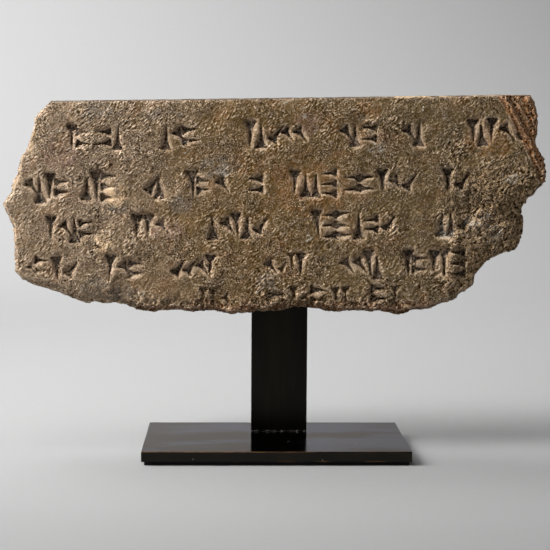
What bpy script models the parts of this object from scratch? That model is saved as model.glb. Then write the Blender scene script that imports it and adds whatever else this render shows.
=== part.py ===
"""A broken slab of carved stone, carried by a flat metal bar on a base plate.

Metres, +Z up. The carved face looks along -Y and +X is to its right. The origin is the centre of
the stand's underside, where it rests on the table.
"""

import math
import random

import bmesh
import bpy
from mathutils import Vector, geometry, noise

# Base plate, and the felt glued under it
PLATE_WIDTH = 0.183
PLATE_DEPTH = 0.1065
PLATE_THICK = 0.0071
PLATE_ARRIS = 0.0004
FELT_THICK = 0.0024
FELT_INSET = 0.0018

# Upright bar, fixed to the plate and bedded against the back of the slab
BAR_WIDTH = 0.040
BAR_THICK = 0.010
BAR_ARRIS = 0.0005
BAR_BACK_MARGIN = 0.0257
BAR_OFFSET = 0.0034
BAR_REACH = 0.095

# Slab: SLAB_LIFT is the clear height between the plate and its lowest chip
SLAB_WIDTH = 0.3755
SLAB_HEIGHT = 0.1505
SLAB_THICK = 0.035
SLAB_TILT = math.radians(1.15)
SLAB_OFFSET = -0.0001
SLAB_LIFT = 0.0885

# Pieces that bear on each other keep this gap, and corners of the carving this close are joined
SEAT_GAP = 0.0003
WELD_GAP = 0.0001

# How far the edge of the face is worn or spalled back from the outline, on each stretch of it
TOP_WEAR = 0.0008
LEFT_WEAR = 0.0017
LOWER_LEFT_WEAR = 0.0060
BOTTOM_WEAR = 0.0032
NOTCH_WEAR = 0.0046
RIGHT_WEAR = 0.0056
CORNER_WEAR = 0.0022

# The outline as shares of the slab's width and height. Each stretch starts at its first point and
# runs to the next one's: down the left side, along the bottom and up the right side. The sawn top
# closes it.
STRETCHES = (
    (LEFT_WEAR, (
        (0.090, 1.000), (0.074, 0.962), (0.063, 0.905), (0.057, 0.850), (0.035, 0.740), (0.011, 0.570),
        (0.000, 0.537), (0.000, 0.510), (0.017, 0.432), (0.015, 0.368), (0.017, 0.300), (0.016, 0.225))),
    (LOWER_LEFT_WEAR, ((0.027, 0.180), (0.090, 0.126), (0.140, 0.080), (0.205, 0.061))),
    (BOTTOM_WEAR, ((0.257, 0.024), (0.308, 0.032), (0.441, 0.005))),
    (NOTCH_WEAR, ((0.511, 0.030), (0.555, 0.038))),
    (BOTTOM_WEAR, ((0.602, 0.011), (0.721, 0.000), (0.768, 0.009), (0.820, 0.049), (0.866, 0.126))),
    (RIGHT_WEAR, (
        (0.866, 0.176), (0.889, 0.232), (0.946, 0.294), (0.958, 0.355), (0.955, 0.472), (0.968, 0.520))),
    (CORNER_WEAR, (
        (0.998, 0.600), (1.000, 0.652), (0.996, 0.714), (0.984, 0.762), (0.984, 0.850), (0.988, 0.905),
        (0.983, 0.962))),
    (TOP_WEAR, ((0.974, 1.000),)),
)
BREAK_STEP = 0.0065
BREAK_JAG = 0.0011
BREAK_JAG_LENGTH = 0.010

# The broken sides waver in and out behind the outline, and fade into the flat sawn top
SIDE_INSET = 0.0026
SIDE_ROUGH = 0.0040
SIDE_ROUGH_LENGTH = 0.024
TOP_FLAT = 0.002
TOP_FADE = 0.010
EDGE_ROLL = 0.0012
EDGE_ROLL_LENGTH = 0.004

# The larger break that takes off the upper right corner: its edge line, slope and long ridges
CORNER_TOP = (0.906, 1.0)
CORNER_END = (0.996, 0.560)
CORNER_SLOPE = 0.45
CORNER_RIDGE = 0.0016
CORNER_RIDGE_PITCH = 0.0075
CORNER_RIDGE_WAVER = 0.020
CORNER_EDGE = 0.003
CORNER_STEP = 0.0034

# Swells and pits of the weathered face, and the lower right end, which is rubbed round and rough
FACE_SWELL = 0.0011
FACE_SWELL_LENGTH = 0.055
FACE_PITTING = 0.0005
FACE_PITTING_LENGTH = 0.016
FACE_STEP = 0.0078
END_ACROSS = (0.78, 0.97)
END_BELOW = (0.62, 0.42)
END_RUBBED = 0.0050
END_RUBBED_LENGTH = 0.010
END_ROUGH = 0.0014
END_ROUGH_LENGTH = 0.012

# Flakes lost from the face: each one's width share and height share, and its size beside the common one
FLAKE_RADIUS = 0.0105
FLAKE_DEPTH = 0.0015
FLAKES = (
    (0.176, 0.440, 1.00), (0.225, 0.130, 1.15), (0.395, 0.075, 0.95), (0.862, 0.520, 1.20),
    (0.655, 0.870, 0.75), (0.905, 0.400, 1.05),
)

# Carving: rows of wedge-shaped strokes, each row as its height share and its groups' width shares
STROKE_TALL = 0.0215
STROKE_HEAD = 0.0088
STROKE_DEPTH = 0.0036
ROWS = (
    (0.830, (
        (0.119, 0.213), (0.289, 0.353), (0.445, 0.543), (0.612, 0.684), (0.727, 0.770), (0.851, 0.925))),
    (0.605, (
        (0.035, 0.105), (0.141, 0.197), (0.252, 0.298), (0.335, 0.409), (0.445, 0.472), (0.525, 0.593),
        (0.620, 0.735), (0.805, 0.856))),
    (0.415, ((0.077, 0.160), (0.234, 0.293), (0.372, 0.477), (0.562, 0.698), (0.792, 0.842))),
    (0.228, (
        (0.032, 0.123), (0.184, 0.243), (0.298, 0.390), (0.469, 0.556), (0.611, 0.685), (0.731, 0.832))),
    (0.070, ((0.353, 0.409), (0.482, 0.547), (0.560, 0.639), (0.672, 0.731))),
)


def clear_scene():
    for obj in list(bpy.data.objects):
        bpy.data.objects.remove(obj, do_unlink=True)


def material(name, colour, roughness, metallic=0.0):
    mat = bpy.data.materials.new(name)
    mat.use_nodes = True
    shader = mat.node_tree.nodes["Principled BSDF"]
    shader.inputs["Base Color"].default_value = (*colour, 1.0)
    shader.inputs["Roughness"].default_value = roughness
    shader.inputs["Metallic"].default_value = metallic
    mat.diffuse_color = (*colour, 1.0)
    return mat


def add_object(name, mesh, mat):
    mesh.materials.append(mat)
    obj = bpy.data.objects.new(name, mesh)
    bpy.context.scene.collection.objects.link(obj)
    return obj


def add_block(name, size, foot, arris, mat):
    """A squared block standing on the point foot, with its arrises rubbed down."""
    bm = bmesh.new()
    bmesh.ops.create_cube(bm, size=1.0)
    bmesh.ops.scale(bm, vec=size, verts=bm.verts)
    bmesh.ops.translate(bm, vec=(0.0, 0.0, size[2] / 2), verts=bm.verts)
    if arris:
        bmesh.ops.bevel(bm, geom=bm.edges[:], offset=arris, segments=1, affect="EDGES", clamp_overlap=True)
    mesh = bpy.data.meshes.new(name)
    bm.to_mesh(mesh)
    bm.free()
    obj = add_object(name, mesh, mat)
    obj.location = foot
    return obj


def smooth_step(low, high, value):
    share = min(max((value - low) / (high - low), 0.0), 1.0)
    return share * share * (3.0 - 2.0 * share)


def ripple(place, length, layer):
    """Smooth noise between about -1 and 1 over the slab's face, the same on every run."""
    return noise.noise(Vector((place.x / length, 7.3 * layer, place.y / length)))


def on_slab(share):
    """A share of the slab's width and height as a place on its face, from its bottom centre."""
    return Vector(((share[0] - 0.5) * SLAB_WIDTH, share[1] * SLAB_HEIGHT))


def outward(place):
    """The way out of the slab at a place on its edge, away from the line along its middle."""
    half_line = 0.30 * SLAB_WIDTH
    middle = Vector((min(max(place.x, -half_line), half_line), 0.5 * SLAB_HEIGHT))
    return (place - middle).normalized()


def broken_outline():
    """The slab's outline, anticlockwise as seen from the front, and its wear at each place."""
    places = []
    wear = []
    for index, (stretch_wear, corners) in enumerate(STRETCHES):
        ends = corners + STRETCHES[(index + 1) % len(STRETCHES)][1][:1]
        sawn = index == len(STRETCHES) - 1
        for start, end in zip(ends, ends[1:]):
            start, end = on_slab(start), on_slab(end)
            count = max(1, round((end - start).length / BREAK_STEP))
            for step in range(count):
                place = start.lerp(end, step / count)
                if not sawn:
                    place += outward(place) * BREAK_JAG * ripple(place, BREAK_JAG_LENGTH, 1)
                places.append(place)
                wear.append(stretch_wear)
    for _ in range(2):
        wear = [(wear[i - 1] + 2 * wear[i] + wear[(i + 1) % len(wear)]) / 4 for i in range(len(wear))]
    return places, wear


def inside(place, loop):
    """Whether a place lies inside a closed loop of places."""
    found = False
    for a, b in zip(loop, loop[1:] + loop[:1]):
        if (a.y > place.y) != (b.y > place.y):
            if place.x < a.x + (place.y - a.y) / (b.y - a.y) * (b.x - a.x):
                found = not found
    return found


def edge_distance(place, loop):
    nearest = math.inf
    for a, b in zip(loop, loop[1:] + loop[:1]):
        along = b - a
        share = min(max((place - a).dot(along) / along.length_squared, 0.0), 1.0)
        nearest = min(nearest, (place - a - along * share).length)
    return nearest


class Stroke:
    """One wedge-shaped cut: a broad deep head that tapers to a thin shallow tail."""

    DEEPEST = 0.12
    NECK = 0.30
    NECK_HALF = 0.15

    def __init__(self, head, direction, length, width):
        self.head = head
        self.along = direction.normalized()
        self.across = Vector((-self.along.y, self.along.x))
        self.length = length
        self.width = width
        self.depth = STROKE_DEPTH * width / STROKE_HEAD

    def places(self):
        """The rim of the cut from one head corner round to the other, then two along its valley."""
        rim = [(0.0, -0.5), (self.NECK, -self.NECK_HALF), (1.0, 0.0), (self.NECK, self.NECK_HALF), (0.0, 0.5)]
        valley = [(self.DEEPEST, 0.0), (self.NECK, 0.0)]
        return [
            self.head + self.along * along * self.length + self.across * across * self.width
            for along, across in rim + valley
        ]

    def lines(self):
        """Which of those places are joined: round the rim, down the valley and to the head corners."""
        rim = [(i, (i + 1) % 5) for i in range(5)]
        return rim + [(5, 6), (6, 2), (5, 0), (5, 4)]

    def half_width(self, along):
        if along < self.NECK:
            return 0.5 - (0.5 - self.NECK_HALF) * along / self.NECK
        return self.NECK_HALF * (1 - along) / (1 - self.NECK)

    def shares(self, place):
        """How far along the stroke and across it a place lies."""
        offset = place - self.head
        return offset.dot(self.along) / self.length, offset.dot(self.across) / self.width

    def depth_at(self, place):
        along, across = self.shares(place)
        if not 0 < along < 1 or abs(across) >= self.half_width(along):
            return 0.0
        if along < self.DEEPEST:
            valley = along / self.DEEPEST
        elif along < self.NECK:
            valley = 1 - 0.35 * (along - self.DEEPEST) / (self.NECK - self.DEEPEST)
        else:
            valley = 0.65 * (1 - along) / (1 - self.NECK)
        return self.depth * valley * (1 - abs(across) / self.half_width(along))

    def near(self, place, margin):
        along, across = self.shares(place)
        if not -margin / self.length < along < 1 + margin / self.length:
            return False
        return abs(across) < self.half_width(min(max(along, 0.0), 1.0)) + margin / self.width


def group_strokes(rng, left, right, middle):
    """The strokes of one group: uprights, stacked cross strokes and slants, heads at either end."""
    strokes = []
    x = left
    while x < right - 0.4 * STROKE_HEAD:
        kind = rng.choice(("upright", "upright", "stack", "slant"))
        way = rng.choice((-1, 1, 1))
        if kind == "upright":
            length = STROKE_TALL * rng.uniform(0.80, 1.0)
            width = STROKE_HEAD * rng.uniform(0.85, 1.0)
            head = Vector((x + width / 2, middle + way * length / 2))
            strokes.append(Stroke(head, Vector((rng.uniform(-0.1, 0.1), -way)), length, width))
            x += 0.86 * width
        elif kind == "stack":
            length = STROKE_TALL * rng.uniform(0.48, 0.64)
            width = 0.70 * STROKE_HEAD
            count = rng.choice((2, 2, 3))
            for level in range(count):
                height = middle + 0.34 * STROKE_TALL * (level - (count - 1) / 2)
                head = Vector((x if way > 0 else x + length, height))
                strokes.append(Stroke(head, Vector((way, rng.uniform(-0.12, 0.12))), length, width))
            x += length
        else:
            length = STROKE_TALL * rng.uniform(0.52, 0.68)
            head = Vector((x + 0.5 * STROKE_HEAD, middle + way * 0.3 * length))
            strokes.append(Stroke(head, Vector((0.75, -way)), length, 0.86 * STROKE_HEAD))
            x += 0.98 * STROKE_HEAD
    return strokes


def all_strokes(edge):
    """Every stroke of the carving whose head is still on the face, inside its edge."""
    rng = random.Random(19)
    strokes = []
    for height, groups in ROWS:
        for left, right in groups:
            start, end = on_slab((left, height)), on_slab((right, height))
            strokes += group_strokes(rng, start.x, end.x, start.y)
    return [stroke for stroke in strokes if inside(stroke.head, edge)]


def beyond_corner_line(place):
    """How far a place lies past the edge of the corner break, less than nothing where it doesn't."""
    top, end = on_slab(CORNER_TOP), on_slab(CORNER_END)
    line = (end - top).normalized()
    return (place - top).dot(Vector((-line.y, line.x)))


def corner_depth(place):
    """The corner break falls away from its edge in long ridges that run along it."""
    beyond = beyond_corner_line(place)
    if beyond <= 0:
        return 0.0
    turns = beyond / CORNER_RIDGE_PITCH + 0.35 * ripple(place, CORNER_RIDGE_WAVER, 5)
    ridges = CORNER_RIDGE * math.sin(2 * math.pi * turns) * smooth_step(0, CORNER_EDGE, beyond)
    return CORNER_SLOPE * beyond + ridges


def flake_depth(place):
    """Shallow dishes where flakes have come away, each with one crisp side."""
    depth = 0.0
    for width_share, height_share, size in FLAKES:
        reach = (place - on_slab((width_share, height_share))) / (size * FLAKE_RADIUS)
        crisp = smooth_step(1.0, 0.70, reach.length + 0.25 * ripple(place, 0.8 * FLAKE_RADIUS, 6))
        depth = max(depth, size * FLAKE_DEPTH * crisp * (1.0 - 0.45 * reach.y))
    return depth


def face_depth(place, strokes, room):
    """How deep the face lies behind the slab's front plane at a place with this room to the edge."""
    weathered = FACE_SWELL * (0.5 + 0.5 * ripple(place, FACE_SWELL_LENGTH, 2))
    weathered += FACE_PITTING * (0.5 + ripple(place, FACE_PITTING_LENGTH, 3))
    weathered += EDGE_ROLL * math.exp(-room / EDGE_ROLL_LENGTH)
    end = smooth_step(*END_ACROSS, 0.5 + place.x / SLAB_WIDTH)
    end *= smooth_step(*END_BELOW, place.y / SLAB_HEIGHT)
    rubbed = END_RUBBED * math.exp(-room / END_RUBBED_LENGTH)
    rubbed += END_ROUGH * ripple(place, END_ROUGH_LENGTH, 4)
    carved = max((stroke.depth_at(place) for stroke in strokes), default=0.0)
    carved *= 1 - smooth_step(0, CORNER_EDGE, beyond_corner_line(place))
    return weathered + end * rubbed + corner_depth(place) + flake_depth(place) + carved


def face_grid(edge, strokes):
    """Places spread evenly over the face, closer on the corner break, clear of edge and strokes."""
    places = []
    for step, on_corner in ((FACE_STEP, False), (CORNER_STEP, True)):
        row_height = step * math.sqrt(3) / 2
        for row in range(1, int(SLAB_HEIGHT / row_height) + 1):
            for column in range(int(SLAB_WIDTH / step) + 2):
                place = Vector(((column + 0.5 * (row % 2)) * step - SLAB_WIDTH / 2, row * row_height))
                if (beyond_corner_line(place) > -0.5 * step) != on_corner or not inside(place, edge):
                    continue
                if edge_distance(place, edge) < 0.5 * step:
                    continue
                if not any(stroke.near(place, 0.25 * step) for stroke in strokes):
                    places.append(place)
    return places


def triangulated(loop, loose, strokes):
    """Triangles over the area inside a loop, with every stroke's rim and valley among their sides."""
    places = list(loop) + list(loose)
    lines = [(i, (i + 1) % len(loop)) for i in range(len(loop))]
    for stroke in strokes:
        lines += [(a + len(places), b + len(places)) for a, b in stroke.lines()]
        places += stroke.places()
    spots, _, faces, *_ = geometry.delaunay_2d_cdt(places, lines, [], 0, WELD_GAP)
    middle = [sum((spots[i] for i in face), Vector((0, 0))) / 3 for face in faces]
    return spots, [list(face) for face, place in zip(faces, middle) if inside(place, loop)]


def rim_of(faces):
    """The outer loop of a set of triangles, in the order that they turn."""
    sides = {(a, b) for face in faces for a, b in zip(face, face[1:] + face[:1])}
    following = {a: b for a, b in sorted(sides) if (b, a) not in sides}
    rim = [min(following)]
    while following[rim[-1]] != rim[0]:
        rim.append(following[rim[-1]])
    return rim


def side_inset(place, layer):
    """How far the side is set in from the outline: it wavers where broken, and the sawn top is flat."""
    broken = smooth_step(TOP_FLAT, TOP_FLAT + TOP_FADE, SLAB_HEIGHT - place.y)
    return broken * max(0.0, SIDE_INSET + SIDE_ROUGH * ripple(place, SIDE_ROUGH_LENGTH, 10 + layer))


def slab_mesh():
    """The slab as one closed solid: carved face, broken sides, sawn top and plain flat back."""
    outline, wear = broken_outline()
    edge = [place - outward(place) * width for place, width in zip(outline, wear)]
    strokes = all_strokes(edge)
    spots, faces = triangulated(edge, face_grid(edge, strokes), strokes)

    bm = bmesh.new()
    front = {}
    for index in sorted({i for face in faces for i in face}):
        depth = face_depth(spots[index], strokes, edge_distance(spots[index], edge))
        front[index] = bm.verts.new((spots[index].x, depth, spots[index].y))
    for face in faces:
        bm.faces.new([front[i] for i in face])

    # Rings round the side, each at its share of the way from the face's edge to the back.
    rim = rim_of(faces)
    sides = []
    for i in rim:
        nearest = min(range(len(edge)), key=lambda k: (edge[k] - spots[i]).length)
        sides.append(spots[i] + outward(spots[i]) * wear[nearest])
    ring = [front[i] for i in rim]
    for layer, share in enumerate((0.13, 0.42, 0.72, 1.0)):
        behind = []
        for i, place in zip(rim, sides):
            spot = place - outward(place) * side_inset(place, layer) * (layer > 0)
            depth = front[i].co.y + (SLAB_THICK - front[i].co.y) * share
            behind.append(bm.verts.new((spot.x, depth, spot.y)))
        for k in range(len(ring)):
            n = (k + 1) % len(ring)
            bm.faces.new((ring[k], behind[k], behind[n], ring[n]))
        ring = behind

    # The back is cut flat, and bears on the bar.
    back_loop = [Vector((vert.co.x, vert.co.z)) for vert in ring]
    for face in triangulated(back_loop, [], [])[1]:
        bm.faces.new([ring[i] for i in reversed(face)])

    mesh = bpy.data.meshes.new("inscribed_slab")
    bm.to_mesh(mesh)
    bm.free()
    return mesh


def build():
    clear_scene()
    stone = material("carved stone", (0.155, 0.115, 0.070), 0.85)
    bar_metal = material("dark patinated bar", (0.012, 0.010, 0.008), 0.30, 1.0)
    plate_metal = material("dark waxed plate", (0.012, 0.010, 0.008), 0.22, 1.0)
    felt = material("black felt", (0.004, 0.004, 0.004), 0.95)

    felt_size = (PLATE_WIDTH - 2 * FELT_INSET, PLATE_DEPTH - 2 * FELT_INSET, FELT_THICK)
    add_block("felt_pad", felt_size, (0.0, 0.0, 0.0), 0.0, felt)

    plate_foot = FELT_THICK + SEAT_GAP
    plate_size = (PLATE_WIDTH, PLATE_DEPTH, PLATE_THICK)
    add_block("base_plate", plate_size, (0.0, 0.0, plate_foot), PLATE_ARRIS, plate_metal)
    plate_top = plate_foot + PLATE_THICK

    bar_middle = PLATE_DEPTH / 2 - BAR_BACK_MARGIN - BAR_THICK / 2
    bar_foot = plate_top + SEAT_GAP
    bar_size = (BAR_WIDTH, BAR_THICK, plate_top + SLAB_LIFT + BAR_REACH - bar_foot)
    add_block("upright_bar", bar_size, (BAR_OFFSET, bar_middle, bar_foot), BAR_ARRIS, bar_metal)

    slab = add_object("inscribed_slab", slab_mesh(), stone)
    slab.rotation_euler = (0.0, -SLAB_TILT, 0.0)
    turn = slab.rotation_euler.to_matrix()
    lowest = min((turn @ vert.co).z for vert in slab.data.vertices)
    half_height = turn @ Vector((0.0, 0.0, SLAB_HEIGHT / 2))
    back = bar_middle - BAR_THICK / 2 - SEAT_GAP
    slab.location = (SLAB_OFFSET - half_height.x, back - SLAB_THICK, plate_top + SLAB_LIFT - lowest)


build()
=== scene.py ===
import math

import bpy
import numpy as np
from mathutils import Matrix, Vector, noise


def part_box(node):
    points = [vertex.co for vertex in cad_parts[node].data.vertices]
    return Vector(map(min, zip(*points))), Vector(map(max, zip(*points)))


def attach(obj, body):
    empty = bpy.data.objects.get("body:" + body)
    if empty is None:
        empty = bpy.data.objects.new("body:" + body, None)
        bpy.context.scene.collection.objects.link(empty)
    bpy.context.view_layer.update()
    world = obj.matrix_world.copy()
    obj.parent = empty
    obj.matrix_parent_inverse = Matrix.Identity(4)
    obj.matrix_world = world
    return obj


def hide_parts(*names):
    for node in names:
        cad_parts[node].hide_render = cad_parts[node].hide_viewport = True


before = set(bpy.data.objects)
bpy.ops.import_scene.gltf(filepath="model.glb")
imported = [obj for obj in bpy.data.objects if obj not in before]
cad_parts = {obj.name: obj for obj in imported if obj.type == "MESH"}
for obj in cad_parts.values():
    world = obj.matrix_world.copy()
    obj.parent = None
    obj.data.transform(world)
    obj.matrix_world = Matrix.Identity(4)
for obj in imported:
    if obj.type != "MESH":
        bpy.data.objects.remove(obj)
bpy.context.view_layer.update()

# Felt pad
# A sheet of black wool felt, cut a little smaller than the plate and glued to its underside so that
# the metal doesn't scratch the shelf. Its cut edge is soft and slightly fuzzy.

FELT_EDGE_ROUNDING = 0.0008
FELT_BLACK = (9, 9, 10)
FELT_LINT = (30, 29, 28)


def pick(obj):
    """Makes one object the only selected and active one."""
    bpy.ops.object.select_all(action="DESELECT")
    obj.select_set(True)
    bpy.context.view_layer.objects.active = obj


def apply_modifier(obj, kind, **settings):
    """Adds one modifier to an object, sets it and applies it."""
    pick(obj)
    bpy.ops.object.modifier_add(type=kind)
    modifier = obj.modifiers[-1]
    for name, value in settings.items():
        setattr(modifier, name, value)
    bpy.ops.object.modifier_apply(modifier=modifier.name)


def block_like(name, node):
    """A squared block with the size and place of a node, its place kept in its mesh."""
    low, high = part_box(node)
    bpy.ops.object.select_all(action="DESELECT")
    bpy.ops.mesh.primitive_cube_add(size=1.0, location=(low + high) / 2, scale=high - low)
    block = bpy.context.object
    block.name = name
    block.data.name = name
    bpy.ops.object.transform_apply(location=True, rotation=True, scale=True)
    return block


def round_arrises(block, width):
    """Rounds a block's arrises and smooths them, with its six sides left truly flat."""
    apply_modifier(block, "BEVEL", width=width, segments=3)
    for face in block.data.polygons:
        face.use_smooth = max(abs(part) for part in face.normal) < 0.999


def tone(red, green, blue):
    """A colour given the way it looks, out of 255, as the shader wants it."""
    return (*(((value / 255 + 0.055) / 1.055) ** 2.4 for value in (red, green, blue)), 1.0)


class Finish:
    """A material put together layer by layer. Each method adds a node and gives its output."""

    def __init__(self, name, roughness, metallic=0.0):
        self.material = bpy.data.materials.new(name)
        self.material.use_nodes = True
        self.tree = self.material.node_tree
        self.shader = self.tree.nodes["Principled BSDF"]
        self.shader.inputs["Roughness"].default_value = roughness
        self.shader.inputs["Metallic"].default_value = metallic
        self.place = self.tree.nodes.new("ShaderNodeTexCoord").outputs["Object"]

    def feed(self, socket, value):
        if isinstance(value, bpy.types.NodeSocket):
            self.tree.links.new(value, socket)
        else:
            socket.default_value = value

    def node(self, kind, inputs, output=0, **settings):
        node = self.tree.nodes.new("ShaderNode" + kind)
        for name, value in settings.items():
            setattr(node, name, value)
        for name, value in inputs.items():
            self.feed(node.inputs[name], value)
        return node.outputs[output]

    def turned(self, degrees, stretch):
        """Places on the piece, turned in the plane of its face and then stretched."""
        turn = (0.0, math.radians(degrees), 0.0)
        turned = self.node("Mapping", {"Vector": self.place, "Rotation": turn})
        return self.node("Mapping", {"Vector": turned, "Scale": stretch})

    def clouds(self, size, detail=3.0, rough=0.55, place=None):
        """Soft noise whose patches are about this many metres across."""
        inputs = {"Vector": place or self.place, "Scale": 1 / size, "Detail": detail, "Roughness": rough}
        return self.node("TexNoise", inputs, "Fac")

    def swirled(self, size, reach):
        """Places on the piece, each pushed a little aside so that a pattern there loses its regularity."""
        push = self.node("TexNoise", {"Vector": self.place, "Scale": 1 / size, "Detail": 1.0}, "Color")
        push = self.node("VectorMath", {0: push, 1: (0.5, 0.5, 0.5)}, operation="SUBTRACT")
        push = self.node("VectorMath", {0: push, "Scale": reach}, operation="SCALE")
        return self.node("VectorMath", {0: self.place, 1: push}, operation="ADD")

    def cells(self, size, place=None):
        """Grains of about this many metres, as the distance from each grain's middle."""
        return self.node("TexVoronoi", {"Vector": place or self.place, "Scale": 1 / size}, "Distance")

    def between(self, value, low, high, start=0.0, end=1.0):
        """Reads a value from low to high as a smooth change from start to end."""
        inputs = {"Value": value, "From Min": low, "From Max": high, "To Min": start, "To Max": end}
        return self.node("MapRange", inputs, interpolation_type="SMOOTHSTEP")

    def painted(self, name):
        """A value that was painted on the mesh, point by point."""
        return self.node("Attribute", {}, "Fac", attribute_name=name)

    def maths(self, operation, first, second=0.0):
        return self.node("Math", {0: first, 1: second}, operation=operation)

    def mixed(self, share, first, second):
        """Two colours mixed; each may be a fixed colour or a node's output."""
        return self.node("Mix", {0: share, 6: first, 7: second}, 2, data_type="RGBA")

    def bumped(self, height, depth, under=None):
        """A surface raised by depth metres where the height is 1."""
        inputs = {"Height": height, "Distance": depth, "Strength": 1.0}
        if under is not None:
            inputs["Normal"] = under
        return self.node("Bump", inputs)

    def finish(self, colour=None, roughness=None, normal=None):
        for name, value in (("Base Color", colour), ("Roughness", roughness), ("Normal", normal)):
            if value is not None:
                self.feed(self.shader.inputs[name], value)
        return self.material


def felt_finish():
    felt = Finish("black felt", roughness=0.95)
    fibres = felt.clouds(0.0009, detail=5.0, rough=0.7)
    lint = felt.between(felt.clouds(0.0006, detail=2.0), 0.62, 0.74)
    colour = felt.mixed(lint, tone(*FELT_BLACK), tone(*FELT_LINT))
    felt.shader.inputs["Sheen Weight"].default_value = 0.15
    return felt.finish(colour, normal=felt.bumped(fibres, 0.0004))


felt = block_like("felt_sheet", "felt_pad")
round_arrises(felt, FELT_EDGE_ROUNDING)
felt.data.materials.append(felt_finish())
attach(felt, "root")
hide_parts("felt_pad")

# Base plate
# A rectangle of flat metal with a near-black chemical patina under wax. A copper-coloured painted
# highlight runs along its front arrises. The bar is fixed on it.

PLATE_ARRIS_ROUNDING = 0.0006
PLATE_BLACK = (40, 39, 36)
PLATE_BROWN = (48, 43, 37)
COPPER_ARRIS_HIGHLIGHT = (124, 92, 62)
DUST = (206, 200, 188)
PLATE_GLOSS = 0.09
PLATE_GLANCE = (230, 229, 236)
PLATE_GLANCE_DULL = (216, 211, 208)
UPPER_ARRIS_HIGHLIGHT = (0.0009, 0.0002)
LOWER_ARRIS_HIGHLIGHT = (0.0011, 0.0003)
FRONT_ARRIS_HIGHLIGHT = (0.0010, 0.0003)
DUST_BESIDE = (0.0009, 0.0003)
DUST_SPECK = 0.0021
LOOSE_DUST_APART = 0.0046


def plate_finish():
    plate = Finish("waxed black plate", PLATE_GLOSS, metallic=1.0)
    low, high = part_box("base_plate")
    bar_low, bar_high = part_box("upright_bar")
    patina = plate.between(plate.clouds(0.035, detail=4.0), 0.42, 0.66)
    colour = plate.mixed(patina, tone(*PLATE_BLACK), tone(*PLATE_BROWN))

    # A copper-coloured painted highlight along the upper front arris and in places along the lower one.
    across = plate.node("SeparateXYZ", {0: plate.place}, "X")
    depth = plate.node("SeparateXYZ", {0: plate.place}, "Y")
    height = plate.node("SeparateXYZ", {0: plate.place}, "Z")
    upper = plate.between(height, high.z - UPPER_ARRIS_HIGHLIGHT[0], high.z - UPPER_ARRIS_HIGHLIGHT[1])
    front = plate.between(depth, low.y + FRONT_ARRIS_HIGHLIGHT[0], low.y + FRONT_ARRIS_HIGHLIGHT[1])
    upper = plate.maths("MULTIPLY", upper, front)
    patchy = plate.between(plate.clouds(0.010, detail=5.0, rough=0.7), 0.40, 0.62, 0.3, 1.0)
    upper = plate.maths("MULTIPLY", upper, patchy)
    lower = plate.between(height, low.z + LOWER_ARRIS_HIGHLIGHT[0], low.z + LOWER_ARRIS_HIGHLIGHT[1])
    patchy = plate.between(plate.clouds(0.025, detail=5.0, rough=0.7), 0.50, 0.62)
    lower = plate.maths("MULTIPLY", lower, patchy)
    # Here worn is the mask of the painted copper highlight along the front arrises.
    worn = plate.maths("MAXIMUM", upper, lower)
    colour = plate.mixed(worn, colour, tone(*COPPER_ARRIS_HIGHLIGHT))

    # Dust caught along the foot of the bar, in a broken line of specks.
    beside = plate.maths("ABSOLUTE", plate.maths("SUBTRACT", depth, bar_low.y))
    beside = plate.between(beside, *DUST_BESIDE)
    middle = (bar_low.x + bar_high.x) / 2
    half = (bar_high.x - bar_low.x) / 2
    along = plate.maths("ABSOLUTE", plate.maths("SUBTRACT", across, middle))
    beside = plate.maths("MULTIPLY", beside, plate.between(along, half + 0.0008, half))
    specks = plate.between(plate.cells(DUST_SPECK), 0.42, 0.25)
    dusty = plate.maths("MULTIPLY", beside, specks)
    loose = plate.between(plate.cells(LOOSE_DUST_APART), 0.12, 0.07)
    loose = plate.maths("MULTIPLY", loose, plate.between(plate.clouds(0.02), 0.55, 0.68))
    dusty = plate.maths("MAXIMUM", dusty, plate.maths("MULTIPLY", loose, 0.5))
    colour = plate.mixed(dusty, colour, tone(*DUST))
    plate.feed(plate.shader.inputs["Metallic"], plate.maths("SUBTRACT", 1.0, dusty))

    smears = plate.clouds(0.03, detail=5.0, place=plate.turned(0.0, (0.35, 1.0, 1.0)))
    glance = plate.mixed(plate.between(smears, 0.42, 0.62), tone(*PLATE_GLANCE_DULL), tone(*PLATE_GLANCE))
    plate.feed(plate.shader.inputs["Specular Tint"], glance)
    gloss = plate.between(smears, 0.35, 0.70, PLATE_GLOSS, PLATE_GLOSS + 0.07)
    gloss = plate.maths("MAXIMUM", gloss, plate.maths("MULTIPLY", dusty, 0.8))
    waves = plate.bumped(plate.clouds(0.045, detail=2.0), 0.00010)
    grain = plate.bumped(plate.clouds(0.0011, detail=4.0), 0.000006, waves)
    return plate.finish(colour, gloss, grain)


plate = block_like("black_plate", "base_plate")
round_arrises(plate, PLATE_ARRIS_ROUNDING)
plate.data.materials.append(plate_finish())
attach(plate, "root")
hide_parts("base_plate")

# Upright bar
# A length of wide flat bar in the same patina, standing on the plate and bedded against the sawn
# back of the slab, which hides its upper part from the front.

BAR_ARRIS_ROUNDING = 0.0006
BAR_BLACK = (39, 37, 34)
BAR_BROWN = (46, 42, 37)
BAR_GLOSS = 0.24
FOOT_DUST = (0.0011, 0.0004)


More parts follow.
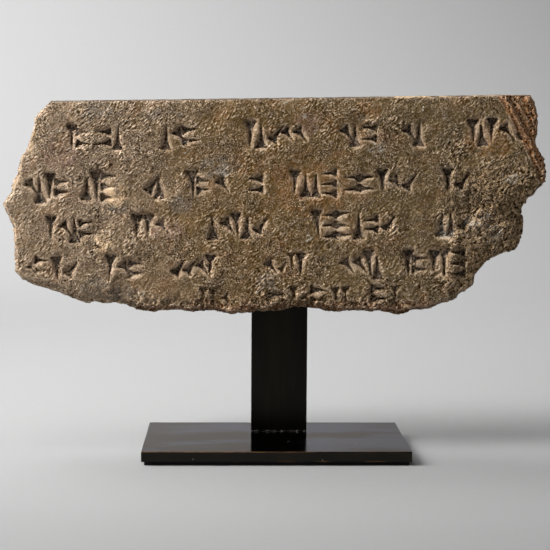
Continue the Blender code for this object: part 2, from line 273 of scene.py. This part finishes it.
def bar_finish():
    bar = Finish("patinated black bar", BAR_GLOSS, metallic=1.0)
    low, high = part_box("upright_bar")
    drawn = bar.turned(0.0, (1.0, 1.0, 0.12))
    patina = bar.between(bar.clouds(0.012, detail=5.0, place=drawn), 0.40, 0.68)
    colour = bar.mixed(patina, tone(*BAR_BLACK), tone(*BAR_BROWN))
    height = bar.node("SeparateXYZ", {0: bar.place}, "Z")
    foot = bar.between(height, low.z + FOOT_DUST[0], low.z + FOOT_DUST[1])
    foot = bar.maths("MULTIPLY", foot, bar.between(bar.clouds(0.0013, detail=4.0), 0.46, 0.58, 0.0, 0.8))
    colour = bar.mixed(foot, colour, tone(*DUST))
    bar.feed(bar.shader.inputs["Metallic"], bar.maths("SUBTRACT", 1.0, foot))
    gloss = bar.between(bar.clouds(0.02, detail=5.0, place=drawn), 0.30, 0.70, BAR_GLOSS, BAR_GLOSS + 0.12)
    lines = bar.bumped(bar.clouds(0.0012, detail=3.0, place=drawn), 0.000010)
    return bar.finish(colour, gloss, lines)


bar = block_like("black_bar", "upright_bar")
round_arrises(bar, BAR_ARRIS_ROUNDING)
bar.data.materials.append(bar_finish())
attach(bar, "root")
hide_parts("upright_bar")

# Stone slab
# A fragment of a carved wall slab of brown stone, sawn flat along its top and back and broken off at
# the other three sides. The strokes are chiselled, and wear has rounded the stone between them.

GRAIN_SIZE = 0.00060
MOST_TRIANGLES = 195000
SLAB_TILT = math.radians(1.15)
CORNER_LINE_TOP = (0.906, 1.0)
CORNER_LINE_END = (0.996, 0.560)
STROKE_WIDENED = 0.00042
STROKE_DEEPENED = 0.0012
STROKE_DEEPEST = 0.0032
WORN_AWAY = 0.45
SHOULDER_NEAR = (0.0014, 0.0016)
SHOULDER_FAR = (0.0030, 0.0014)
STROKE_EDGE = 0.0003
FACE_AROUND = 0.0060
FACE_MARGIN = 0.0016
WORN_PATCH = 0.017
WORN_PATCH_FINE = 0.0035
STREAK_TURN = 42
STREAK_STRETCH = 0.65
STREAK_SIZE = 0.0042
STREAK_DEPTH = 0.00028
STREAK_PATCH = 0.020
SAW_TURN = 3
RIDGES = ((0.0058, 0.0008), (0.0023, 0.0004))
RIDGE_WAVERS = ((0.010, 0.0026), (0.004, 0.0009))
STANDING_HEIGHT = 0.00032
FRONT_KEPT = 0.85
STONE_OLIVE = (116, 94, 58)
STONE_BROWN = (118, 90, 46)
STONE_GREY = (144, 120, 92)
RUSTY = (144, 94, 50)
DARK_OLIVE = (56, 43, 22)
STONE_TAN = (196, 160, 112)
WORN_LIP_HIGHLIGHT = (255, 222, 188)
SHADE_AND_DIRT_BROWN = (44, 27, 9)
SILT_AND_SHADE_BROWN = (30, 20, 11)
BLUISH_GREY = (120, 112, 100)
PINKISH = (136, 104, 88)
PALE_TAN = (224, 188, 144)
OCHRE = (150, 100, 42)
BREAK_RED = (222, 152, 90)
RIM_RUST = (140, 88, 52)
SAWN_GREY = (118, 101, 74)
SAWN_DARK = (66, 53, 36)
SPECK_WHITE = (226, 218, 202)


def mesh_points(obj, what="co"):
    """The mesh's points, or their normals, as an array of rows."""
    values = np.empty(len(obj.data.vertices) * 3)
    if what == "co":
        obj.data.vertices.foreach_get("co", values)
    else:
        obj.data.vertex_normals.foreach_get("vector", values)
    return values.reshape(-1, 3)


def rising(low, high, values):
    share = np.clip((values - low) / (high - low), 0.0, 1.0)
    return share * share * (3.0 - 2.0 * share)


def slab_shares(points):
    """How far along the slab and how far up it each point lies, from 0 to 1 in its own frame."""
    along = points[:, 0] * math.cos(SLAB_TILT) + points[:, 2] * math.sin(SLAB_TILT)
    up = points[:, 2] * math.cos(SLAB_TILT) - points[:, 0] * math.sin(SLAB_TILT)
    size = (np.ptp(along), np.ptp(up))
    return (along - along.min()) / size[0], (up - up.min()) / size[1], size


def past_corner_line(along, up, size):
    """How far each point lies beyond the edge of the larger break at the upper right corner."""
    run = Vector(((CORNER_LINE_END[0] - CORNER_LINE_TOP[0]) * size[0],
                  (CORNER_LINE_END[1] - CORNER_LINE_TOP[1]) * size[1])).normalized()
    return ((along - CORNER_LINE_TOP[0]) * size[0] * -run.y) + ((up - CORNER_LINE_TOP[1]) * size[1] * run.x)


def ridged(points, past_corner):
    """How far each point of the corner break lies sunk between its splintery ridges."""
    sunk = np.zeros(len(points))
    for index in np.flatnonzero(past_corner > -0.001):
        place = Vector(points[index])
        waver = sum(reach * noise.noise(place / size) for size, reach in RIDGE_WAVERS)
        for pitch, depth in RIDGES:
            turn = 2 * math.pi * (past_corner[index] + 0.4 * place.y + waver) / pitch
            sunk[index] += depth * (0.5 + 0.5 * math.sin(turn)) ** 1.5
    return sunk


def streaky(points, size, octaves):
    """Fractal noise over the face, about -1 to 1, drawn out into streaks that run up to the right."""
    turn = math.radians(STREAK_TURN)
    along = points[:, 0] * math.cos(turn) + points[:, 2] * math.sin(turn)
    across = points[:, 2] * math.cos(turn) - points[:, 0] * math.sin(turn)
    places = np.stack([STREAK_STRETCH * along, points[:, 1], across], axis=1) / size
    return np.array([noise.fractal(place, 0.9, 2.0, octaves) for place in places.tolist()])


def zone(obj, name, weights):
    """A vertex group that says where, and how much, a kind of weathering acts."""
    group = obj.vertex_groups.new(name=name)
    for index, weight in enumerate(weights):
        if weight > 0.01:
            group.add((index,), float(weight), "REPLACE")


def weathered(obj, kind, size, depth, where, middle, **settings):
    """Moves the surface in and out by up to depth, in patches of about this size."""
    texture = bpy.data.textures.new(f"{kind} {size}", type=kind)
    texture.noise_scale = size
    for name, value in settings.items():
        setattr(texture, name, value)
    apply_modifier(obj, "DISPLACE", texture=texture, texture_coords="LOCAL", strength=depth,
                   mid_level=middle, vertex_group=where)


def edge_ends(obj):
    """The two point numbers of each of the mesh's edges."""
    ends = np.empty(len(obj.data.edges) * 2, np.int64)
    obj.data.edges.foreach_get("vertices", ends)
    return ends.reshape(-1, 2)


def averaged(values, ends, turns):
    """Point values, each drawn halfway towards its neighbours' average, this many times over."""
    count = len(values)
    neighbours = np.bincount(ends.ravel(), minlength=count)[:, None]
    for _ in range(turns):
        total = np.stack([
            np.bincount(ends[:, 0], values[ends[:, 1], k], count)
            + np.bincount(ends[:, 1], values[ends[:, 0], k], count)
            for k in range(values.shape[1])], axis=1)
        values = 0.5 * values + 0.5 * total / neighbours
    return values


class FrontView:
    """The solid's carved face seen from the front: a grid of depths, and one of where strokes are."""

    CELL = 0.0004
    MARGIN = 60
    STROKE_FACING = 0.82

    def __init__(self, solid):
        solid.calc_loop_triangles()
        triangles = [face for face in solid.loop_triangles if face.normal.y < -0.2]
        corners = np.array([[solid.vertices[index].co for index in face.vertices] for face in triangles])
        steep = [face for face in triangles if -face.normal.y < self.STROKE_FACING]
        stroke_faces = self.within(steep, solid)
        self.low = corners[:, :, (0, 2)].min(axis=(0, 1))
        size = np.ptp(corners[:, :, (0, 2)].reshape(-1, 2), axis=0)
        self.shape = tuple((size / self.CELL).astype(int) + 2 * self.MARGIN)
        self.depth = np.full(self.shape, np.inf)
        self.strokes = np.zeros(self.shape)
        for face, places in zip(triangles, corners):
            self.enter(places, face.index in stroke_faces)
        self.shown = np.isfinite(self.depth).astype(float)
        self.depth[self.shown == 0] = 0.0

    def within(self, steep, solid):
        """The numbers of the steep faces that don't hang together with the slab's broken outline."""
        outer = {index for face in solid.polygons if face.normal.y >= -0.2 for index in face.vertices}
        reached = [face for face in steep if outer & set(face.vertices)]
        while reached:
            outer.update(index for face in reached for index in face.vertices)
            steep = [face for face in steep if face not in reached]
            reached = [face for face in steep if outer & set(face.vertices)]
        return {face.index for face in steep}

    def enter(self, places, steep):
        """Enters one triangle's depths wherever it is the nearest so far."""
        first, second, third = self.cells(places)
        start = np.minimum(np.minimum(first, second), third).astype(int)
        stop = np.maximum(np.maximum(first, second), third).astype(int) + 2
        part = np.s_[start[0]:stop[0], start[1]:stop[1]]
        across, up = np.mgrid[part]
        to_second, to_third, to_cell = second - first, third - first, (across - first[0], up - first[1])
        area = to_second[0] * to_third[1] - to_second[1] * to_third[0]
        share_two = (to_cell[0] * to_third[1] - to_cell[1] * to_third[0]) / area
        share_three = (to_cell[1] * to_second[0] - to_cell[0] * to_second[1]) / area
        share_one = 1 - share_two - share_three
        depth = share_one * places[0, 1] + share_two * places[1, 1] + share_three * places[2, 1]
        inside = np.minimum(np.minimum(share_one, share_two), share_three) > -0.001
        nearest = inside & (depth < self.depth[part])
        self.depth[part][nearest] = depth[nearest]
        self.strokes[part][nearest] = steep

    def cells(self, points):
        return (points[:, (0, 2)] - self.low) / self.CELL + self.MARGIN

    def blurred(self, grid, size):
        waves = [np.fft.fftfreq(count, self.CELL) for count in self.shape]
        soft = np.exp(-2 * (np.pi * size) ** 2 * (waves[0][:, None] ** 2 + waves[1][None, :] ** 2))
        return np.fft.ifft2(np.fft.fft2(grid) * soft).real

    def read(self, grid, points):
        place = np.clip(self.cells(points), 0, np.array(self.shape) - 1.001)
        across, up = place.astype(int).T
        right, above = (place % 1).T
        lower = grid[across, up] * (1 - right) + grid[across + 1, up] * right
        upper = grid[across, up + 1] * (1 - right) + grid[across + 1, up + 1] * right
        return lower * (1 - above) + upper * above

    def around(self, size, points):
        """The face's average depth over about this many metres around each point."""
        shown = self.blurred(self.shown, size)
        depth = self.blurred(self.depth * self.shown, size) / np.maximum(shown, 0.001)
        return self.read(depth, points)

    def room(self, size, points):
        """The share of the surroundings, over about this many metres, that belongs to the face."""
        return self.read(self.blurred(self.shown, size), points)

    def stroked(self, size, points):
        """The share of the surroundings, over about this many metres, that strokes take up."""
        return self.read(self.blurred(self.strokes, size), points)


def paint(obj, name, values):
    """Keeps a value for each point on the mesh, for the material to read."""
    attribute = obj.data.attributes.new(name, "FLOAT", "POINT")
    attribute.data.foreach_set("value", np.asarray(values, np.float32))


def spots(along, up, size, places):
    """Soft round spots at these places on the face, from 0 to 1."""
    found = np.zeros(len(along))
    for middle_along, middle_up, half_wide, half_high in places:
        aside = (along - middle_along) * size[0] / half_wide
        above = (up - middle_up) * size[1] / half_high
        reach = np.hypot(aside, above)
        found = np.maximum(found, rising(1.0, 0.35, reach))
    return found


slab = bpy.data.objects.new("carved_slab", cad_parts["inscribed_slab"].data.copy())
bpy.context.scene.collection.objects.link(slab)
slab.data.materials.clear()
pick(slab)
bpy.ops.object.mode_set(mode="EDIT")
bpy.ops.mesh.select_all(action="SELECT")
bpy.ops.mesh.remove_doubles(threshold=0.00001)
bpy.ops.object.mode_set(mode="OBJECT")
clean = FrontView(slab.data)
apply_modifier(slab, "REMESH", mode="VOXEL", voxel_size=GRAIN_SIZE, use_smooth_shade=True)
apply_modifier(slab, "SMOOTH", factor=0.5, iterations=1)

slab_low, slab_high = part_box("inscribed_slab")
points, facing = mesh_points(slab), mesh_points(slab, "normal")
along, up, slab_size = slab_shares(points)
on_top = rising(0.6, 0.9, facing[:, 2]) * rising(0.985, 0.992, up)
on_back = rising(0.7, 0.9, facing[:, 1]) * rising(0.0020, 0.0010, slab_high.y - points[:, 1])
sawn = np.maximum(on_top, on_back)
past_corner = past_corner_line(along, up, slab_size)
carved = rising(-0.35, -0.75, facing[:, 1]) * (1 - rising(0.0, 0.003, past_corner))
broken = (1 - carved) * (1 - sawn)
zone(slab, "broken zone", broken)
zone(slab, "side zone", broken * (1 - rising(-0.002, 0.002, past_corner) * rising(0.1, 0.5, -facing[:, 1])))
zone(slab, "sawn zone", sawn)
zone(slab, "eroded zone", carved * rising(0.76, 0.88, along) * rising(0.74, 0.60, up))
zone(slab, "chipped zone", carved * rising(0.17, 0.04, up) * rising(0.80, 0.70, along))

# The strokes are cut again from the solid, crisp to the ends of their tails, and wear has rounded the
# stone between them: it sinks towards them all round.
inner = rising(0.90, 0.99, clean.room(FACE_MARGIN, points)) * carved
points[:, 1] += (clean.around(STROKE_EDGE, points) - points[:, 1]) * inner
worn = np.array([
    noise.noise(Vector(point) / WORN_PATCH) + 0.4 * noise.noise(Vector(point) / WORN_PATCH_FINE)
    for point in points])
faded = rising(0.05, 0.45, worn) * inner
points[:, 1] += WORN_AWAY * faded * (clean.around(FACE_AROUND, points) - points[:, 1])
in_strokes = rising(0.10, 0.60, clean.stroked(STROKE_WIDENED, points)) * (1 - WORN_AWAY * faded)
points[:, 1] += STROKE_DEEPENED * in_strokes * inner
for size, depth in (SHOULDER_NEAR, SHOULDER_FAR):
    points[:, 1] += depth * rising(0.0, 0.7, clean.stroked(size, points)) * inner
below = np.maximum(points[:, 1] - clean.around(FACE_AROUND, points), 0.0) * inner
points[:, 1] += STROKE_DEEPEST * np.tanh(below / STROKE_DEEPEST) - below
rough = 0.20 + 0.80 * rising(-0.3, 0.4, streaky(points, STREAK_PATCH, 2))
points[:, 1] -= STREAK_DEPTH * rough * streaky(points, STREAK_SIZE, 4) * carved * (1 - 0.6 * in_strokes)
zone(slab, "carved zone", carved * (1 - 0.75 * in_strokes))

# The corner break came off in splintery ridges that run along its edge line.
splinters = ridged(points, past_corner)
splinters *= rising(0.0, 0.002, past_corner) * rising(0.3, 0.7, -facing[:, 1]) * (1 - sawn)
points -= facing * splinters[:, None]
slab.data.vertices.foreach_set("co", points.ravel())

# Hollows and lumps of the carved face, its eroded end and its chipped lower rim. Then the breaks,
# with coarser lumps, and the slight unevenness that the saw left.
weathered(slab, "CLOUDS", 0.0150, 0.0018, "carved zone", 0.55)
weathered(slab, "CLOUDS", 0.0070, 0.0006, "carved zone", 0.50, noise_depth=3)
weathered(slab, "CLOUDS", 0.0050, 0.0026, "eroded zone", 0.55)
weathered(slab, "CLOUDS", 0.0020, 0.0018, "eroded zone", 0.50, noise_depth=3, noise_type="HARD_NOISE")
weathered(slab, "CLOUDS", 0.0045, 0.0024, "chipped zone", 0.62)
weathered(slab, "CLOUDS", 0.0020, 0.0016, "chipped zone", 0.55, noise_depth=3, noise_type="HARD_NOISE")
weathered(slab, "CLOUDS", 0.0120, 0.0036, "side zone", 0.54)
weathered(slab, "VORONOI", 0.0070, 0.0014, "side zone", 0.45)
weathered(slab, "CLOUDS", 0.0030, 0.0014, "broken zone", 0.50)
weathered(slab, "CLOUDS", 0.0014, 0.0011, "broken zone", 0.50)
weathered(slab, "CLOUDS", 0.0060, 0.0005, "sawn zone", 1.0)
kept = np.clip(mesh_points(slab), slab_low, slab_high)
slab.data.vertices.foreach_set("co", kept.ravel())
slab.vertex_groups.clear()

triangles = 2 * len(slab.data.polygons)
zone(slab, "carved zone", FRONT_KEPT * rising(0.0, 0.4, -facing[:, 1]))
apply_modifier(slab, "DECIMATE", ratio=min(1.0, MOST_TRIANGLES / triangles),
               vertex_group="carved zone", invert_vertex_group=True)
slab.vertex_groups.clear()
bpy.ops.object.shade_smooth()

# What the material reads: how far each point stands out from the surface around it, where the
# strokes have their lips and hollows, and where the breaks, the sawn faces and the stains are.
points, facing = mesh_points(slab), mesh_points(slab, "normal")
along, up, slab_size = slab_shares(points)
past_corner = past_corner_line(along, up, slab_size)
on_top = rising(0.6, 0.9, facing[:, 2]) * rising(0.985, 0.992, up)
on_back = rising(0.7, 0.9, facing[:, 1]) * rising(0.0020, 0.0010, slab_high.y - points[:, 1])
sawn = np.maximum(on_top, on_back)
paint(slab, "sawn", sawn)
near = averaged(points, edge_ends(slab), 8)
standing = np.clip(((points - near) * facing).sum(1) / STANDING_HEIGHT, -1, 1)
paint(slab, "standing", standing * (1 - sawn))
front = rising(0.3, -0.1, facing[:, 1])
inner = rising(0.80, 0.97, clean.room(FACE_MARGIN, points)) * front
stroked = clean.stroked(STROKE_WIDENED, points)
below = points[:, 1] - clean.around(FACE_AROUND, points)
# The deepest parts of the strokes, which the material darkens with silt and painted shade.
paint(slab, "sunk", rising(0.0010, 0.0032, below) * rising(0.1, 0.4, clean.stroked(0.0007, points)) * inner)
paint(slab, "lip", np.clip(3.0 * (clean.stroked(0.0008, points) - 0.7 * stroked), 0, 1) * inner)
carved = rising(-0.20, -0.60, facing[:, 1]) * (1 - rising(0.0, 0.002, past_corner))
broken = (1 - carved) * (1 - on_back) * (1 - on_top)
paint(slab, "broken", broken)
# Breaks that face downwards, for the painted shade the material puts on them.
paint(slab, "under", broken * rising(0.0, 0.6, -facing[:, 2]))
paint(slab, "corner", rising(-0.0005, 0.0020, past_corner) * rising(-0.1, 0.1, -facing[:, 1]))

# Stains, each given as its share along the slab, its share up it, and its half width and height.
# The two narrow tan spots at the left upper edge are a painted highlight, not a stain.
stains = {
    "grey": [
        (0.180, 0.955, 0.014, 0.008), (0.165, 0.150, 0.014, 0.010), (0.215, 0.120, 0.020, 0.010),
        (0.325, 0.520, 0.012, 0.008), (0.210, 0.530, 0.012, 0.010), (0.395, 0.690, 0.022, 0.010),
        (0.880, 0.400, 0.022, 0.018), (0.850, 0.560, 0.012, 0.016), (0.290, 0.930, 0.020, 0.006),
        (0.480, 0.160, 0.012, 0.014)],
    "pink": [
        (0.110, 0.745, 0.018, 0.012), (0.560, 0.880, 0.016, 0.010), (0.300, 0.400, 0.016, 0.010)],
    "tan": [
        (0.183, 0.350, 0.011, 0.010), (0.207, 0.575, 0.013, 0.012), (0.815, 0.395, 0.009, 0.012),
        (0.055, 0.850, 0.003, 0.018), (0.062, 0.905, 0.003, 0.014)],
    "white": [
        (0.405, 0.680, 0.008, 0.007), (0.685, 0.765, 0.010, 0.006), (0.515, 0.972, 0.009, 0.002),
        (0.553, 0.930, 0.003, 0.006), (0.810, 0.905, 0.003, 0.003), (0.837, 0.990, 0.003, 0.002),
        (0.812, 0.390, 0.009, 0.010), (0.560, 0.360, 0.005, 0.004), (0.930, 0.620, 0.010, 0.006),
        (0.875, 0.430, 0.016, 0.008), (0.900, 0.360, 0.010, 0.010)],
    "ochre": [
        (0.668, 0.930, 0.014, 0.012), (0.650, 0.830, 0.012, 0.012), (0.530, 0.650, 0.022, 0.018),
        (0.772, 0.080, 0.005, 0.006), (0.565, 0.580, 0.034, 0.030), (0.890, 0.800, 0.024, 0.022)]}
for name, places in stains.items():
    paint(slab, name, spots(along, up, slab_size, places) * front)
paint(slab, "eroded", rising(0.78, 0.90, along) * rising(0.74, 0.60, up) * rising(0.0, -0.003, past_corner))
end_zone = rising(0.84, 0.97, along) * rising(0.62, 0.42, up)
paint(slab, "rim", np.maximum(end_zone * rising(0.93, 0.975, along), rising(0.10, 0.02, up)))
# The top arris, which the material darkens, and a stretch of it painted pale, partly as chips and partly as
# a painted highlight.
arris = rising(0.984, 0.996, up) * rising(0.0, 0.15, -facing[:, 1])
paint(slab, "arris", arris)
paint(slab, "chipped", arris * rising(0.68, 0.74, along) * rising(0.93, 0.89, along))


def stone_finish():
    stone = Finish("weathered carved stone", roughness=0.5)
    standing = stone.painted("standing")
    drawn_out = stone.turned(STREAK_TURN, (STREAK_STRETCH, 1.0, 1.0))

    # The stone itself: greyish tan at the left, brown in the middle, olive at the right, and streaked.
    across = stone.node("SeparateXYZ", {0: stone.swirled(0.05, 0.10)}, "X")
    colour = stone.mixed(stone.between(across, -0.01, 0.09), tone(*STONE_BROWN), tone(*STONE_OLIVE))
    colour = stone.mixed(stone.between(across, -0.01, -0.13), colour, tone(*STONE_GREY))
    patches = stone.clouds(0.012, detail=6.0, rough=0.68, place=drawn_out)
    colour = stone.mixed(stone.between(patches, 0.50, 0.68, 0.0, 0.35), colour, tone(*RUSTY))
    colour = stone.mixed(stone.between(patches, 0.48, 0.32, 0.0, 0.30), colour, tone(*DARK_OLIVE))
    # The tan paint holds stains and also a painted highlight along the left upper edge.
    for name, paint_colour, most in (
            ("ochre", OCHRE, 0.45), ("pink", PINKISH, 0.55), ("grey", BLUISH_GREY, 0.50),
            ("tan", PALE_TAN, 0.85)):
        frayed = stone.between(stone.clouds(0.009, detail=6.0, rough=0.72), 0.36, 0.64, 0.1, 1.9)
        ragged = stone.maths("MULTIPLY", stone.painted(name), frayed)
        colour = stone.mixed(stone.between(ragged, 0.20, 1.00, 0.0, most), colour, tone(*paint_colour))
    mottled = stone.clouds(0.0045, detail=5.0, rough=0.65, place=drawn_out)
    colour = stone.mixed(stone.between(mottled, 0.52, 0.70, 0.0, 0.14), colour, tone(*STONE_TAN))

    # Breaks: redder at the corner, rusty along the lower rims, paler where sawn.
    corner = stone.painted("corner")
    colour = stone.mixed(stone.maths("MULTIPLY", corner, 0.86), colour, tone(*BREAK_RED))
    rim = stone.between(stone.maths("ADD", stone.painted("rim"), stone.clouds(0.012)), 0.75, 1.15)
    rim = stone.maths("MULTIPLY", rim, stone.between(stone.painted("broken"), 0.0, 1.0, 0.60, 0.85))
    colour = stone.mixed(rim, colour, tone(*RIM_RUST))
    sawn = stone.painted("sawn")
    kerf = stone.clouds(0.0016, detail=3.0, place=stone.turned(SAW_TURN, (0.03, 1.0, 1.0)))
    sawn_colour = stone.mixed(stone.between(kerf, 0.38, 0.62), tone(*SAWN_DARK), tone(*SAWN_GREY))
    colour = stone.mixed(stone.maths("MULTIPLY", sawn, 0.80), colour, sawn_colour)
    colour = stone.mixed(stone.maths("MULTIPLY", stone.painted("eroded"), 0.65), colour, tone(*STONE_TAN))

    # Lips pale from wear and painted highlight, hollows darker from dirt and painted shade, near black deep
    # in the strokes.
    # Points that stand out are paled and points in hollows darkened: wear and dirt, and a painted highlight
    # and painted shade.
    colour = stone.mixed(stone.between(standing, 0.15, 0.90, 0.0, 0.35), colour, tone(*WORN_LIP_HIGHLIGHT))
    colour = stone.mixed(stone.between(standing, -0.15, -1.00, 0.0, 0.55), colour, tone(*SHADE_AND_DIRT_BROWN))
    # Lips round the strokes paled: wear, and a painted highlight on them.
    lip = stone.between(stone.painted("lip"), 0.15, 0.90)
    rubbed = stone.between(stone.clouds(0.005, detail=4.0), 0.30, 0.60, 0.40, 1.00)
    rubbed = stone.maths("MULTIPLY", lip, rubbed)
    colour = stone.mixed(rubbed, colour, tone(*WORN_LIP_HIGHLIGHT))
    # Downward-facing breaks darkened: painted shade.
    under = stone.maths("MULTIPLY", stone.painted("under"), 0.65)
    colour = stone.mixed(under, colour, tone(*SHADE_AND_DIRT_BROWN))
    # The top arris darkened towards brown.
    arris = stone.painted("arris")
    colour = stone.mixed(stone.maths("MULTIPLY", arris, 0.60), colour, tone(*SHADE_AND_DIRT_BROWN))
    # Pale patches along a stretch of the top arris: chips, and a painted highlight along that arris.
    chipped = stone.between(stone.clouds(0.006, detail=3.0), 0.42, 0.56, 0.0, 0.9)
    chipped = stone.maths("MULTIPLY", stone.painted("chipped"), chipped)
    colour = stone.mixed(chipped, colour, tone(*PALE_TAN))
    # Near black deep in the strokes: silt and painted shade.
    silt_and_shade_patches = stone.between(stone.clouds(0.006, detail=4.0), 0.35, 0.65, 0.95, 0.65)
    silt_and_shade = stone.maths("MULTIPLY", stone.painted("sunk"), silt_and_shade_patches)
    colour = stone.mixed(silt_and_shade, colour, tone(*SILT_AND_SHADE_BROWN))
    flakes = stone.clouds(0.0013, detail=1.0, rough=0.6, place=stone.turned(STREAK_TURN, (0.55, 1.0, 1.0)))
    grits = stone.clouds(0.0011, detail=1.6, rough=0.8)
    grain = stone.mixed(stone.between(stone.clouds(0.012, detail=4.0), 0.42, 0.62), grits, flakes)
    grainy = stone.between(stone.clouds(0.022, detail=3.0), 0.36, 0.66, 0.50, 1.20)
    coarse = stone.maths("MAXIMUM", stone.painted("broken"), stone.painted("eroded"))
    coarse = stone.maths("MAXIMUM", coarse, stone.painted("rim"))
    coarse = stone.maths("MAXIMUM", coarse, stone.maths("MULTIPLY", lip, 0.42))
    grainy = stone.maths("ADD", grainy, stone.maths("MULTIPLY", coarse, 0.90))
    grainy = stone.maths("MULTIPLY", grainy, stone.between(sawn, 0.0, 1.0, 1.0, 0.40))
    # Grain: its low points darkened with dirt and painted shade, its peaks paled as worn tops and painted
    # glints.
    cavities = stone.maths("MULTIPLY", stone.between(grain, 0.48, 0.35, 0.0, 0.80), grainy)
    colour = stone.mixed(cavities, colour, tone(*SHADE_AND_DIRT_BROWN))
    peaks = stone.maths("MULTIPLY", stone.between(grain, 0.55, 0.66, 0.0, 0.90), grainy)
    colour = stone.mixed(peaks, colour, tone(*PALE_TAN))
    specks = stone.between(stone.cells(0.0042, stone.swirled(0.01, 0.004)), 0.15, 0.07)
    specks = stone.maths("MULTIPLY", specks, stone.between(stone.clouds(0.02), 0.46, 0.62, 0.0, 0.8))
    colour = stone.mixed(specks, colour, tone(*SPECK_WHITE))

    # Pale scratches and salts, in fine streaks that run down to the left.
    streaks = stone.clouds(0.0014, detail=4.0, place=stone.turned(STREAK_TURN, (0.16, 1.0, 1.0)))
    scratched = stone.between(streaks, 0.50, 0.62)
    salts = stone.between(stone.painted("white"), 0.1, 0.8, 0.0, 0.65)
    scratched = stone.maths("MULTIPLY", salts, scratched)
    colour = stone.mixed(scratched, colour, tone(*SPECK_WHITE))

    raised = stone.bumped(streaks, 0.0002)
    raised = stone.bumped(stone.maths("MULTIPLY", kerf, sawn), 0.0006, raised)
    raised = stone.bumped(stone.clouds(0.0040, detail=3.0, rough=0.65, place=drawn_out), 0.0003, raised)
    raised = stone.bumped(stone.maths("MULTIPLY", grain, grainy), 0.0025, raised)
    shine = stone.between(grain, 0.40, 0.60, 0.05, 0.90)
    shine = stone.maths("ADD", shine, stone.maths("MULTIPLY", lip, 0.30))
    stone.feed(stone.shader.inputs["Specular IOR Level"], shine)
    gloss = stone.between(stone.clouds(0.004, detail=4.0), 0.35, 0.70, 0.40, 0.58)
    gloss = stone.maths("SUBTRACT", gloss, stone.maths("MULTIPLY", lip, 0.16))
    gloss = stone.maths("ADD", gloss, stone.maths("MULTIPLY", silt_and_shade, 0.30))
    return stone.finish(colour, gloss, raised)


slab.data.materials.append(stone_finish())
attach(slab, "root")
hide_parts("inscribed_slab")

# Floor and backdrop
# One sweep of pale grey paper: a level floor that curves up behind into a plain wall. It is matt,
# with only a faint mottling of its fibres.

SWEEP_WIDTH = 9.0
SWEEP_FRONT = -3.0
SWEEP_BACK = 2.2
SWEEP_BEND = 1.0
SWEEP_STEPS = 24
SWEEP_HEIGHT = 4.5
SWEEP_GREY = (147, 147, 147)
SWEEP_FIBRE = (133, 133, 133)

floor_end = SWEEP_BACK - SWEEP_BEND
bpy.ops.object.select_all(action="DESELECT")
bpy.ops.mesh.primitive_plane_add(size=1.0, location=(0, (SWEEP_FRONT + floor_end) / 2, 0))
sweep = bpy.context.object
sweep.name = "paper_sweep"
sweep.scale = (SWEEP_WIDTH, floor_end - SWEEP_FRONT, 1.0)
bpy.ops.object.transform_apply(location=True, rotation=True, scale=True)

# Its back edge alone is turned up into the bend and then drawn up as the wall.
bpy.ops.object.mode_set(mode="EDIT")
bpy.ops.mesh.select_mode(type="EDGE")
bpy.ops.mesh.select_all(action="DESELECT")
bpy.ops.object.mode_set(mode="OBJECT")
for edge in sweep.data.edges:
    edge.select = all(sweep.data.vertices[index].co.y > floor_end - 0.001 for index in edge.vertices)
bpy.ops.object.mode_set(mode="EDIT")
bpy.ops.mesh.spin(
    steps=SWEEP_STEPS, angle=math.radians(90), center=(0, floor_end, SWEEP_BEND), axis=(-1, 0, 0))
bpy.ops.mesh.extrude_region_move(TRANSFORM_OT_translate={"value": (0, 0, SWEEP_HEIGHT - SWEEP_BEND)})
bpy.ops.mesh.select_mode(type="VERT")
bpy.ops.object.mode_set(mode="OBJECT")
bpy.ops.object.shade_smooth()
paper = Finish("pale grey paper", roughness=0.9)
fibre = paper.clouds(0.004, detail=4.0)
paper_colour = paper.mixed(paper.between(fibre, 0.3, 0.7, 0.0, 0.10), tone(*SWEEP_GREY), tone(*SWEEP_FIBRE))
sweep.data.materials.append(paper.finish(paper_colour))

# Lights
# A soft light high on the left rakes across the carving, a weaker one overhead fills it, and four
# more brighten the paper: its wall at the left and in the middle, and its floor behind and beside.


def soft_light(name, place, target, size, power, spread):
    light = bpy.data.lights.new(name, "AREA")
    light.shape = "SQUARE"
    light.size = size
    light.energy = power
    light.spread = math.radians(spread)
    lamp = bpy.data.objects.new(name, light)
    lamp.location = place
    lamp.rotation_euler = (Vector(target) - Vector(place)).to_track_quat("-Z", "Y").to_euler()
    bpy.context.scene.collection.objects.link(lamp)


soft_light("key", (-1.23, -0.52, 1.35), (-0.03, 0.35, 0.10), 0.60, 5.8, 60)
soft_light("overhead", (-0.35, -0.6, 2.0), (-0.25, -0.4, 0.0), 1.0, 3.2, 90)
soft_light("wall", (-0.8, 1.2, 2.4), (-0.1, 2.0, 0.6), 1.4, 41.0, 120)
soft_light("wall left", (-1.6, 1.4, 1.5), (-0.6, 2.0, 0.0), 1.2, 13.0, 110)
soft_light("floor", (-2.0, 0.5, 2.2), (-0.75, 1.1, 0.1), 1.4, 8.0, 90)
soft_light("floor left", (-1.5, -0.10, 0.9), (-0.50, -0.15, 0.0), 0.5, 3.4, 65)
world = bpy.data.worlds.new("studio air")
world.use_nodes = True
world.node_tree.nodes["Background"].inputs["Color"].default_value = (1.0, 1.0, 1.0, 1.0)
world.node_tree.nodes["Background"].inputs["Strength"].default_value = 0.10
bpy.context.scene.world = world
bpy.context.scene.view_settings.view_transform = "Standard"

# Camera
# It stands about a metre in front, a little above the slab's middle, and looks slightly down.

CAMERA_PLACE = (-0.0317, -1.0487, 0.2186)
CAMERA_TURN = (84.883, -0.361, -1.669)
FOCAL_LENGTH = 98.18

camera = bpy.data.cameras.new("camera")
camera.sensor_width = 36.0
camera.lens = FOCAL_LENGTH
camera_object = bpy.data.objects.new("camera", camera)
camera_object.location = CAMERA_PLACE
camera_object.rotation_euler = [math.radians(turn) for turn in CAMERA_TURN]
bpy.context.scene.collection.objects.link(camera_object)
bpy.context.scene.camera = camera_object

bpy.context.view_layer.update()
